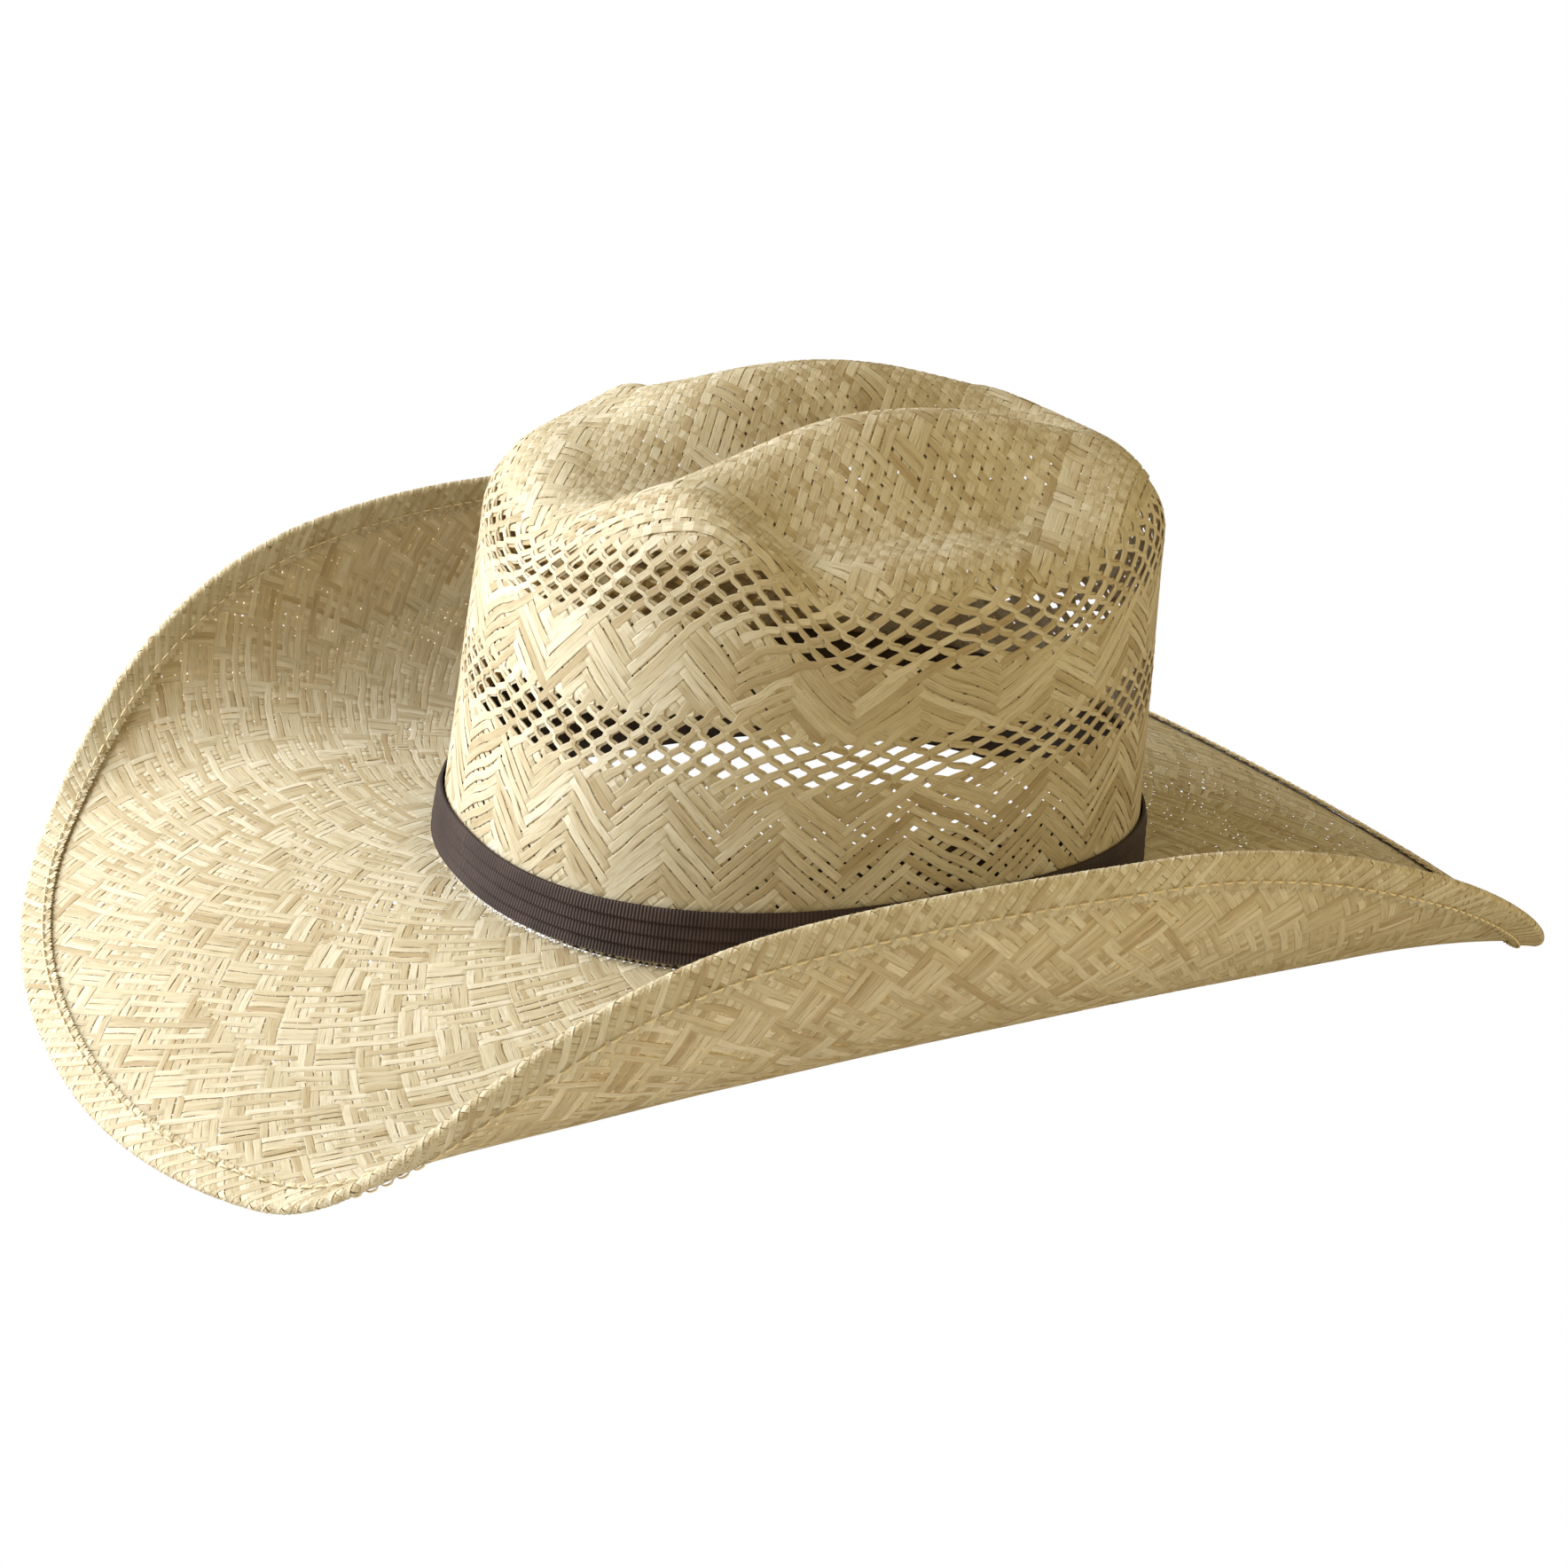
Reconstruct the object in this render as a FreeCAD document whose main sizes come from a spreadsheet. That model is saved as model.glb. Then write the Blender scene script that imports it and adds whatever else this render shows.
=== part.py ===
import FreeCAD, Part
import Sketcher
import math
import os

Vector = FreeCAD.Vector

doc = FreeCAD.newDocument("WesternHat")

# Driving dimensions in millimetres, angles in degrees
SIZES = [
    ("head_half_length", 102.0, "middle of the straw, half the head oval front to back"),
    ("head_half_width", 80.6, "middle of the straw, half the head oval side to side"),
    ("head_squareness", 2.34, "power of the head oval, 2 is an ellipse"),
    ("straw_thickness", 1.4, "woven sheet of crown and brim"),
    ("break_radius", 2.2, "bend between crown and brim"),
    ("brim_width", 119.2, "from the head oval to the brim edge, along the straw"),
    ("brim_left_gain", 0.5, "how much wider the brim is at the left than at the mean"),
    ("brim_skew", 1.9, "how much wider it is at the left front and right rear"),
    ("roll_start", 95.3, "distance from the middle line where the side roll starts"),
    ("roll_angle", 98.2, "slope of the rolled brim at its side edge"),
    ("roll_power", 1.18, "how late the roll tightens"),
    ("roll_front_growth", 1.0, "gain of the roll towards the front, square term"),
    ("roll_front_curl", 1.066, "gain of the roll towards the front, fourth power term"),
    ("roll_rear_loss", 0.664, "loss of the roll towards the rear, square term"),
    ("roll_rear_curl", 1.13, "gain of the roll towards the rear, fourth power term"),
    ("dip_start", 91.8, "distance from the middle where front and rear start to dip"),
    ("front_dip", 30.9, "downward slope at the front edge"),
    ("rear_dip", 23.0, "downward slope at the rear edge"),
    ("edge_front_lift", 1.7, "hand shaping, the edge is higher in front and lower behind"),
    ("edge_end_lift", 1.1, "hand shaping, the edge is higher at both ends and lower at the sides"),
    ("edge_twist", -1.7, "hand shaping, lift of the edge at the left front and right rear"),
    ("sag_depth", 7.9, "hand shaping, hollow halfway out on the left front of the brim"),
    ("sag_lift", 1.3, "lift of the edge over that hollow"),
    ("sag_spread", 1.4, "how far the edge stands out to the left over that hollow"),
    ("sag_place", 34.8, "degrees from the front to the left to the middle of that hollow"),
    ("sag_reach", 25.7, "degrees to each side at which a third of that hollow is left"),
    ("crown_height", 129.1, "from the break to the top of the uncreased crown"),
    ("crown_rise", 0.0154, "slope of the top from front to rear"),
    ("crown_arch", 0.0014, "how fast the top falls off to front and rear, per mm"),
    ("crown_dome", 8.1, "extra height at the middle of the uncreased top"),
    ("shoulder_radius", 24.6, "bend between crown wall and top"),
    ("front_lean", 8.83, "how far the front wall leans in at the shoulder"),
    ("rear_lean", 5.71, "how far the rear wall leans in at the shoulder"),
    ("side_lean", 5.7, "how far the side walls lean in at the shoulder"),
    ("crease_depth", 26.9, "centre crease, full depth"),
    ("crease_front_depth", 10.2, "centre crease where it runs out in front"),
    ("crease_half_width", 16.1, "centre crease, at about a third of its depth"),
    ("crease_front_spread", 10.0, "how much wider the crease is in front"),
    ("crease_front", 30.8, "full depth of the crease reached this far in front"),
    ("crease_front_fade", 60.0, "length over which the crease deepens"),
    ("crease_rear", 40.4, "crease starts to end this far behind"),
    ("crease_rear_fade", 45.0, "length over which the crease ends"),
    ("dent_depth", 20.0, "side dents, how far the shoulder is pressed down"),
    ("dent_ridge", 24.0, "side dents start this far from the middle line"),
    ("dent_foot", 60.0, "side dents have their full depth this far from the middle line"),
    ("dent_hollow", 5.0, "extra depth in the middle of a side dent"),
    ("dent_hollow_offset", 46.0, "middle of that hollow from the middle line"),
    ("dent_hollow_half_width", 14.0, "that hollow, at about a third of its depth"),
    ("dent_pinch", 0.2, "share by which the dents close in on each other in front"),
    ("dent_front", 50.0, "left dent starts this far in front"),
    ("right_dent_front", 20.4, "right dent starts this far in front"),
    ("dent_front_fade", 18.0, "half the length over which a dent starts"),
    ("dent_rear", 53.6, "left dent ends this far behind"),
    ("right_dent_rear", 78.6, "right dent ends this far behind"),
    ("dent_rear_fade", 30.0, "half the length over which a dent ends"),
    ("right_drop", 6.8, "how far the right ridge sinks in front of its dent"),
    ("right_drop_place", 50.3, "where it sinks most, in front of the middle"),
    ("right_drop_length", 28.0, "from there to where a third of it is left"),
    ("right_drop_start", 10.0, "it starts this far from the middle line"),
    ("right_drop_full", 50.0, "it is full this far from the middle line"),
    ("tip_radius", 1.5, "small flat disc that closes the top"),
    ("lay_gap", 0.25, "gap between pieces that lie against each other"),
    ("hem_width", 10.0, "folded edge strip, from the brim edge inward"),
    ("hem_thickness", 0.8, "folded edge strip"),
    ("wire_diameter", 1.2, "spring wire inside the brim edge"),
    ("ferrule_wall", 0.25, "sleeve that joins the ends of the wire"),
    ("ferrule_length", 12.0, "sleeve that joins the ends of the wire"),
    ("ferrule_play", 0.1, "between wire and sleeve"),
    ("thread_diameter", 0.5, "sewing thread"),
    ("hem_stitch_inset", 2.2, "stitch line from the inner edge of the edge strip"),
    ("band_bottom", 1.9, "hatband, above the middle of the straw at the break"),
    ("band_height", 16.0, "hatband"),
    ("band_pleats", 4, "folded tiers of the hatband"),
    ("ribbon_thickness", 0.7, "hatband ribbon at the top of each tier"),
    ("pleat_step", 0.9, "how far each tier stands out at its lower fold"),
    ("keeper_width", 14.0, "loop over the join of the hatband"),
    ("keeper_thickness", 0.7, "loop over the join of the hatband"),
    ("keeper_lip_gap", 0.9, "from the lips of the keeper to the straw"),
    ("tape_thickness", 0.4, "tape that holds the reed of the sweatband"),
    ("tape_height", 8.0, "tape, above its lowest point"),
    ("reed_diameter", 1.8, "stiffening cord in the foot of the sweatband"),
    ("sweat_foot", 0.6, "lowest point of the reed tape above the break"),
    ("sweat_thickness", 1.1, "sweatband"),
    ("sweat_height", 34.0, "sweatband"),
    ("sweat_top_gap", 1.0, "between the top of the sweatband and the straw"),
    ("sweat_stitch_height", 5.0, "stitch line of the sweatband above its foot"),
]

# How finely the formula surfaces follow their formula
COLUMNS = 96
BRIM_ROWS = 20
BREAK_ROWS = 4
WALL_ROWS = 11
SHOULDER_ROWS = 9
TOP_ROWS = 13
TUBE_ARCS = 6
ARC_ROWS = 4
SLOPE_STEPS = 12
PROBE = 1e-3

# Shares of the crown height between which crease and dents come in
CREASE_LEVELS = (0.62, 1.0)
DENT_LEVELS = (0.2, 0.95)
DROP_LEVELS = (0.5, 1.0)


def make_sheet():
    sheet = doc.addObject("Spreadsheet::Sheet", "Sizes")
    for row, (name, value, note) in enumerate(SIZES, start=1):
        sheet.set("A%d" % row, name)
        sheet.set("B%d" % row, str(value))
        sheet.set("C%d" % row, note)
        sheet.setAlias("B%d" % row, name)
    doc.recompute()
    return sheet


sheet = make_sheet()


class Sizes:
    """The driving dimensions, read back from the sheet."""


size = Sizes()
for name, value, note in SIZES:
    setattr(size, name, float(sheet.get(name)))

# Sizes that follow from the driving dimensions
half_straw = size.straw_thickness / 2
wire_radius = size.wire_diameter / 2
ferrule_radius = wire_radius + size.ferrule_play + size.ferrule_wall
fold_inner = ferrule_radius + size.lay_gap
fold_outer = fold_inner + size.hem_thickness
straw_inset = fold_outer + fold_inner + size.lay_gap
thread_radius = size.thread_diameter / 2
flap_inner = half_straw + size.lay_gap
flap_outer = flap_inner + size.hem_thickness
wall_height = size.crown_height - size.shoulder_radius
mean_radius = math.sqrt(size.head_half_length * size.head_half_width)


# Small mathematics shared by the forms
def smooth(start, end, x):
    t = min(max((x - start) / (end - start), 0.0), 1.0)
    return t * t * (3 - 2 * t)


def run_and_rise(length, slope):
    """Ground covered and height gained along a sheet of the given slope."""
    run = rise = 0.0
    step = length / SLOPE_STEPS
    for i in range(SLOPE_STEPS + 1):
        weight = step / 3 * (1 if i in (0, SLOPE_STEPS) else 4 if i % 2 else 2)
        angle = slope(i * step)
        run += weight * math.cos(angle)
        rise += weight * math.sin(angle)
    return run, rise


def power(x, exponent):
    return math.copysign(abs(x) ** exponent, x)


# Head oval and its outward normal, angle 0 in front and 90 degrees on the wearer's left
def oval(angle):
    root = 2 / size.head_squareness
    x = size.head_half_width * power(math.sin(angle), root)
    y = -size.head_half_length * power(math.cos(angle), root)
    return x, y


def oval_normal(x, y):
    rise = size.head_squareness - 1
    nx = power(x / size.head_half_width, rise) / size.head_half_width
    ny = power(y / size.head_half_length, rise) / size.head_half_length
    length = math.hypot(nx, ny)
    return nx / length, ny / length


def width_at(angle):
    left = size.brim_left_gain * math.sin(angle)
    return size.brim_width + left + size.brim_skew * math.sin(2 * angle)


def bend_brim(x, y):
    """Place of a point of the flat brim once the sides are rolled and the ends dip."""
    reach = size.head_half_length + size.brim_width
    ratio = (y / reach) ** 2
    if y < 0:
        gain = 1 + size.roll_front_growth * ratio + size.roll_front_curl * ratio ** 2
    else:
        gain = 1 - size.roll_rear_loss * ratio + size.roll_rear_curl * ratio ** 2
    full_run = size.head_half_width + size.brim_width - size.roll_start
    full_angle = math.radians(size.roll_angle) * gain
    side = max(abs(x) - size.roll_start, 0.0)
    run, rise = run_and_rise(side, lambda t: full_angle * (t / full_run) ** size.roll_power)
    dip = math.radians(size.front_dip if y < 0 else size.rear_dip)
    dip_run = reach - size.dip_start
    end = max(abs(y) - size.dip_start, 0.0)
    forward, drop = run_and_rise(end, lambda t: dip * t / dip_run)
    new_x = math.copysign(min(abs(x), size.roll_start) + run, x)
    new_y = math.copysign(min(abs(y), size.dip_start) + forward, y)
    return new_x, new_y, rise - drop


def hand_shape(angle, share):
    """Uneven lift and sag that shaping by hand leaves at a share of the brim's width."""
    lift = size.edge_front_lift * math.cos(angle) + size.edge_end_lift * math.cos(2 * angle)
    lift += size.edge_twist * math.sin(2 * angle)
    away = math.cos(angle - math.radians(size.sag_place)) - 1
    near = math.exp(2 * away / math.radians(size.sag_reach) ** 2)
    hollow = size.sag_depth * near * math.sin(math.pi * share) ** 2
    edge = share ** 2
    return Vector(size.sag_spread * near * edge, 0, (lift + size.sag_lift * near) * edge - hollow)


def brim_middle(angle, out):
    """Middle of the straw at a distance from the head oval, measured along the straw."""
    x, y = oval(angle)
    nx, ny = oval_normal(x, y)
    point = Vector(*bend_brim(x + nx * out, y + ny * out))
    return point + hand_shape(angle, out / width_at(angle))


def lean_at(angle):
    """Share of the head oval that the wall has lost at the shoulder."""
    ends = size.front_lean if math.cos(angle) > 0 else size.rear_lean
    along = ends / size.head_half_length * math.cos(angle) ** 2
    across = size.side_lean / size.head_half_width * math.sin(angle) ** 2
    return along + across


def crease_and_dents(x, y, z):
    """Press the centre crease and the two side dents into the uncreased crown."""
    level = z / size.crown_height
    z += (size.crown_rise * y - size.crown_arch * y * y) * level
    deepens = smooth(-size.crease_front - size.crease_front_fade, -size.crease_front, y)
    ends = 1 - smooth(size.crease_rear, size.crease_rear + size.crease_rear_fade, y)
    depth = size.crease_front_depth
    depth += (size.crease_depth - size.crease_front_depth) * deepens
    half_width = size.crease_half_width
    half_width += size.crease_front_spread * smooth(0, size.head_half_length, -y)
    crease = depth * ends * math.exp(-(x / half_width) ** 2) * smooth(*CREASE_LEVELS, level)
    front = size.dent_front if x > 0 else size.right_dent_front
    rear = size.dent_rear if x > 0 else size.right_dent_rear
    dent = smooth(-front - size.dent_front_fade, -front + size.dent_front_fade, y)
    dent *= 1 - smooth(rear - size.dent_rear_fade, rear + size.dent_rear_fade, y)
    across = abs(x) / (1 - size.dent_pinch * smooth(0, size.head_half_length, -y))
    hollow = (across - size.dent_hollow_offset) / size.dent_hollow_half_width
    sink = size.dent_depth * smooth(size.dent_ridge, size.dent_foot, across)
    sink += size.dent_hollow * math.exp(-hollow ** 2)
    sink *= dent * smooth(*DENT_LEVELS, level)
    place = (y + size.right_drop_place) / size.right_drop_length
    drop = size.right_drop * math.exp(-place ** 2) * smooth(*DROP_LEVELS, level)
    drop *= smooth(size.right_drop_start, size.right_drop_full, -x)
    return Vector(x, y, z - crease - sink - drop)


def crown_middle(angle, zone, share):
    """Middle of the straw on the wall, the shoulder or the top of the crown."""
    x, y = oval(angle)
    lean = lean_at(angle)
    bend = size.shoulder_radius / mean_radius
    if zone == "wall":
        scale = 1 - lean * share
        z = wall_height * share
    elif zone == "shoulder":
        turn = share * math.pi / 2
        scale = 1 - lean - bend * (1 - math.cos(turn))
        z = wall_height + size.shoulder_radius * math.sin(turn)
    else:
        last = size.tip_radius / mean_radius
        scale = (1 - lean - bend) * (1 - share) + last * share
        z = size.crown_height + size.crown_dome * (1 - (1 - share) ** 2)
    foot = bend_brim(x, y)[2] * (1 - smooth(0, wall_height, z))
    point = crease_and_dents(x * scale, y * scale, z)
    return point + Vector(0, 0, foot)


def break_middle(angle, share):
    """Middle of the straw in the bend between brim and crown."""
    turn = share * math.pi / 2
    radius = size.break_radius
    point = brim_middle(angle, radius * (1 - math.sin(turn)))
    inward = lean_at(angle) * (radius * (1 - math.cos(turn))) / wall_height
    point.x *= 1 - inward
    point.y *= 1 - inward
    point.z += radius * (1 - math.cos(turn))
    return point


def sheet_middle(angle, station):
    """Middle of the straw from the brim edge, station 0, to the tip, station 5."""
    radius = size.break_radius
    if station < 1:
        edge = width_at(angle) - straw_inset
        return brim_middle(angle, edge + (radius - edge) * station)
    if station < 2:
        return break_middle(angle, station - 1)
    if station < 3:
        start = radius / wall_height
        return crown_middle(angle, "wall", start + (1 - start) * (station - 2))
    if station < 4:
        return crown_middle(angle, "shoulder", station - 3)
    return crown_middle(angle, "top", min(station - 4, 1.0))


def offset_point(middle, angle, along, out):
    """Move a point of a formula sheet off that sheet, outward or upward."""
    around = middle(angle + PROBE, along) - middle(angle - PROBE, along)
    inward = middle(angle, along + PROBE) - middle(angle, along - PROBE)
    normal = around.cross(inward)
    normal.normalize()
    return middle(angle, along) + normal * out


def on_brim(angle, inset, out):
    """Point near the brim edge: inset from the edge along the straw, out above it."""
    def middle(a, along):
        return brim_middle(a, width_at(a) - along)
    return offset_point(middle, angle, inset, out)


def on_wall(angle, height, out):
    """Point near the crown wall: height above the break, out from the middle of the straw."""
    def middle(a, along):
        return crown_middle(a, "wall", along / wall_height)
    return offset_point(middle, angle, height, out)


# Surfaces that close on themselves round the hat
ANGLES = [2 * math.pi * (i + 0.5) / COLUMNS for i in range(COLUMNS)]


def column_curve(points):
    """Curve across the rings at one angle, on even parameters so that all columns match."""
    curve = Part.BSplineCurve()
    if len(points) == 2:
        curve.buildFromPolesMultsKnots(points, [2, 2], [0.0, 1.0], False, 1)
    else:
        curve.interpolate(Points=points, Parameters=[float(i) for i in range(len(points))])
    return curve


def ring_surface(rings):
    """Surface through rings of points: cubic and closed round the hat, smooth across the rings."""
    curves = [column_curve([ring[i] for ring in rings]) for i in range(COLUMNS)]
    columns = [curve.getPoles() for curve in curves]
    poles = []
    for i, column in enumerate(columns):
        before = columns[i - 1]
        after = columns[(i + 1) % COLUMNS]
        poles.append([p - (a - p * 2 + b) / 6 for a, p, b in zip(before, column, after)])
    first = curves[0]
    surface = Part.BSplineSurface()
    surface.buildFromPolesMultsKnots(
        poles,
        [1] * (COLUMNS + 1),
        first.getMultiplicities(),
        [float(i) for i in range(COLUMNS + 1)],
        first.getKnots(),
        True,
        False,
        3,
        first.Degree,
    )
    return surface


def closed_solid(faces):
    shell = Part.makeShell(faces)
    shell.sewShape()
    if shell.ShapeType != "Shell":
        shell = shell.Shells[0]
    solid = Part.Solid(shell)
    if solid.Volume < 0:
        solid.reverse()
    return solid


def ring_solid(sides, place):
    """Solid round the hat whose section is the closed run of the given sides."""
    faces = []
    for side in sides:
        rings = [[place(angle, *spot) for angle in ANGLES] for spot in side]
        faces.append(ring_surface(rings).toShape())
    return closed_solid(faces)


def line(start, end, rows=2):
    """Straight side of a section, with more rows where the sheet under it is curved."""
    steps = rows - 1
    return [
        tuple(s + (e - s) * i / steps for s, e in zip(start, end))
        for i in range(rows)
    ]


def arc(centre, radius, start, end, rows=5):
    """Round side of a section: angles in degrees, 0 along the first axis."""
    spots = []
    for i in range(rows):
        turn = math.radians(start + (end - start) * i / (rows - 1))
        spots.append((centre[0] + radius * math.cos(turn), centre[1] + radius * math.sin(turn)))
    return spots


def tube(centre, radius, place):
    turn = 360 / TUBE_ARCS
    arcs = [arc(centre, radius, turn * i, turn * (i + 1), ARC_ROWS) for i in range(TUBE_ARCS)]
    return ring_solid(arcs, place)


def section(corners):
    """Straight sides that join the corners in turn and close."""
    return [line(a, b) for a, b in zip(corners, corners[1:] + corners[:1])]


def add_feature(name, shape):
    feature = doc.addObject("Part::Feature", name)
    feature.Shape = shape
    feature.Placement = FreeCAD.Placement()
    feature.Label = name
    return feature


# Woven body: brim and crown in one sheet
def stations():
    rows = [i / BRIM_ROWS for i in range(BRIM_ROWS)]
    rows += [1 + i / BREAK_ROWS for i in range(BREAK_ROWS)]
    rows += [2 + i / WALL_ROWS for i in range(WALL_ROWS)]
    rows += [3 + i / SHOULDER_ROWS for i in range(SHOULDER_ROWS)]
    rows += [4 + i / TOP_ROWS for i in range(TOP_ROWS + 1)]
    return rows


def body_ring(station, out):
    if station < 5:
        return [offset_point(sheet_middle, angle, station, out) for angle in ANGLES]
    ring = [sheet_middle(angle, station) for angle in ANGLES]
    level = sum(point.z for point in ring) / COLUMNS + out
    return [Vector(point.x, point.y, level) for point in ring]


def woven_body():
    upper = ring_surface([body_ring(station, half_straw) for station in stations()])
    lower = ring_surface([body_ring(station, -half_straw) for station in stations()])
    rim = ring_surface([body_ring(0.0, half_straw), body_ring(0.0, -half_straw)])
    faces = [upper.toShape(), lower.toShape(), rim.toShape()]
    for surface in (upper, lower):
        last = surface.getVKnots()[-1]
        faces.append(Part.Face(Part.Wire([surface.vIso(last).toShape()])))
    return add_feature("straw_body", closed_solid(faces))


# Brim edge: folded strip, wire, sleeve and stitching
def edge_strip():
    inner_edge = size.hem_width
    nose = fold_outer
    top_out = line((inner_edge, flap_outer), (nose, fold_outer), 5)
    nose_out = arc((nose, 0.0), fold_outer, 90, 270, 9)
    low_out = line((nose, -fold_outer), (inner_edge, -flap_outer), 5)
    low_end = line((inner_edge, -flap_outer), (inner_edge, -flap_inner))
    low_in = line((inner_edge, -flap_inner), (nose, -fold_inner), 5)
    nose_in = arc((nose, 0.0), fold_inner, 270, 90, 9)
    top_in = line((nose, fold_inner), (inner_edge, flap_inner), 5)
    top_end = line((inner_edge, flap_inner), (inner_edge, flap_outer))
    sides = [top_out, nose_out, low_out, low_end, low_in, nose_in, top_in, top_end]
    return add_feature("edge_strip", ring_solid(sides, on_brim))


def brim_wire():
    return add_feature("brim_wire", tube((fold_outer, 0.0), wire_radius, on_brim))


def wire_ferrule():
    """Sleeve over the ends of the wire, in the middle of the rear edge."""
    outer = doc.addObject("Part::Cylinder", "FerruleOuter")
    outer.setExpression("Radius", "Sizes.wire_diameter / 2 + Sizes.ferrule_play + Sizes.ferrule_wall")
    outer.setExpression("Height", "Sizes.ferrule_length")
    inner = doc.addObject("Part::Cylinder", "FerruleBore")
    inner.setExpression("Radius", "Sizes.wire_diameter / 2 + Sizes.ferrule_play")
    inner.setExpression("Height", "Sizes.ferrule_length")
    sleeve = doc.addObject("Part::Cut", "wire_ferrule")
    sleeve.Base = outer
    sleeve.Tool = inner
    sleeve.Label = "wire_ferrule"
    centre = on_brim(math.pi, fold_outer, 0.0)
    start = centre - Vector(size.ferrule_length / 2, 0, 0)
    turn = FreeCAD.Rotation(Vector(0, 0, 1), Vector(1, 0, 0))
    sleeve.Placement = FreeCAD.Placement(start, turn)
    return sleeve


def hem_stitching():
    """Upper and lower thread of the stitch line that holds the edge strip."""
    inset = size.hem_width - size.hem_stitch_inset
    share = size.hem_stitch_inset / (size.hem_width - fold_outer)
    rise = flap_outer + (fold_outer - flap_outer) * share + size.lay_gap + thread_radius
    threads = [tube((inset, side * rise), thread_radius, on_brim) for side in (1, -1)]
    return add_feature("hem_stitching", Part.makeCompound(threads))


# Hatband: one pleated ribbon, its join covered by a keeper on the wearer's left
band_inner = half_straw + size.lay_gap
band_outer = band_inner + size.ribbon_thickness + size.pleat_step


def hatband():
    count = int(round(size.band_pleats))
    tier = size.band_height / count
    top = size.band_bottom + size.band_height
    corners = [(top, band_inner)]
    for i in range(count):
        corners.append((top - i * tier, band_inner + size.ribbon_thickness))
        corners.append((top - (i + 1) * tier, band_outer))
    corners.append((size.band_bottom, band_inner))
    return add_feature("hatband", ring_solid(section(corners), on_wall))


def band_keeper():
    """Ribbon loop drawn as a C round the band, upright on the leaning side wall."""
    body = doc.addObject("PartDesign::Body", "KeeperBody")
    body.Label = "band_keeper"
    sketch = body.newObject("Sketcher::SketchObject", "KeeperProfile")
    planes = {item.Role: item for item in body.Origin.OriginFeatures}
    sketch.AttachmentSupport = [(planes["XZ_Plane"], "")]
    sketch.MapMode = "FlatFace"
    lip = half_straw + size.keeper_lip_gap
    face_in = band_outer + size.lay_gap
    face_out = face_in + size.keeper_thickness
    low_in = size.band_bottom - size.lay_gap
    low_out = low_in - size.keeper_thickness
    top_in = size.band_bottom + size.band_height + size.lay_gap
    top_out = top_in + size.keeper_thickness
    corners = [
        (lip, low_out), (face_out, low_out), (face_out, top_out), (lip, top_out),
        (lip, top_in), (face_in, top_in), (face_in, low_in), (lip, low_in),
    ]
    spots = [Vector(x, z, 0) for x, z in corners]
    for a, b in zip(spots, spots[1:] + spots[:1]):
        sketch.addGeometry(Part.LineSegment(a, b), False)
    count = len(spots)
    for i in range(count):
        sketch.addConstraint(Sketcher.Constraint("Coincident", i, 2, (i + 1) % count, 1))
        kind = "Vertical" if i % 2 else "Horizontal"
        sketch.addConstraint(Sketcher.Constraint(kind, i))
    straw = "Sizes.straw_thickness / 2"
    face = straw + " + 2 * Sizes.lay_gap + Sizes.ribbon_thickness + Sizes.pleat_step"
    top = "Sizes.band_bottom + Sizes.band_height + Sizes.lay_gap"
    low = "Sizes.band_bottom - Sizes.lay_gap"
    places = [
        ("DistanceX", 0, lip, straw + " + Sizes.keeper_lip_gap"),
        ("DistanceX", 3, lip, straw + " + Sizes.keeper_lip_gap"),
        ("DistanceX", 1, face_out, face + " + Sizes.keeper_thickness"),
        ("DistanceX", 5, face_in, face),
        ("DistanceY", 0, low_out, low + " - Sizes.keeper_thickness"),
        ("DistanceY", 2, top_out, top + " + Sizes.keeper_thickness"),
        ("DistanceY", 4, top_in, top),
        ("DistanceY", 6, low_in, low),
    ]
    for kind, corner, value, expression in places:
        index = sketch.addConstraint(Sketcher.Constraint(kind, -1, 1, corner, 1, value))
        sketch.setExpression("Constraints[%d]" % index, expression)
    pad = body.newObject("PartDesign::Pad", "KeeperPad")
    pad.Profile = sketch
    pad.setExpression("Length", "Sizes.keeper_width")
    lean = "atan(Sizes.side_lean / (Sizes.crown_height - Sizes.shoulder_radius))"
    body.Placement = FreeCAD.Placement(Vector(0, 0, 0), FreeCAD.Rotation(Vector(0, -1, 0), 1))
    body.setExpression("Placement.Rotation.Angle", lean)
    body.setExpression("Placement.Base.x", "Sizes.head_half_width")
    body.setExpression("Placement.Base.y", "Sizes.keeper_width / 2")
    return body


# Inside: sweatband with its reed, tape and stitching, measured inward from the straw
tape_half = size.reed_diameter / 2 + size.lay_gap + size.tape_thickness
reed_depth = half_straw + size.lay_gap + tape_half
reed_height = size.sweat_foot + tape_half
sweat_depth = reed_depth + tape_half + size.lay_gap


def sweat_reed():
    radius = size.reed_diameter / 2
    return add_feature("sweatband_reed", tube((reed_height, -reed_depth), radius, on_wall))


def reed_tape():
    """Tape folded in a U under the reed, its legs up behind the sweatband."""
    inner = tape_half - size.tape_thickness
    top = size.sweat_foot + size.tape_height
    centre = (reed_height, -reed_depth)
    sides = [
        line((top, -reed_depth + tape_half), (reed_height, -reed_depth + tape_half)),
        arc(centre, tape_half, 90, 270, 9),
        line((reed_height, -reed_depth - tape_half), (top, -reed_depth - tape_half)),
        line((top, -reed_depth - tape_half), (top, -reed_depth - inner)),
        line((top, -reed_depth - inner), (reed_height, -reed_depth - inner)),
        arc(centre, inner, 270, 90, 9),
        line((reed_height, -reed_depth + inner), (top, -reed_depth + inner)),
        line((top, -reed_depth + inner), (top, -reed_depth + tape_half)),
    ]
    return add_feature("reed_tape", ring_solid(sides, on_wall))


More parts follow.
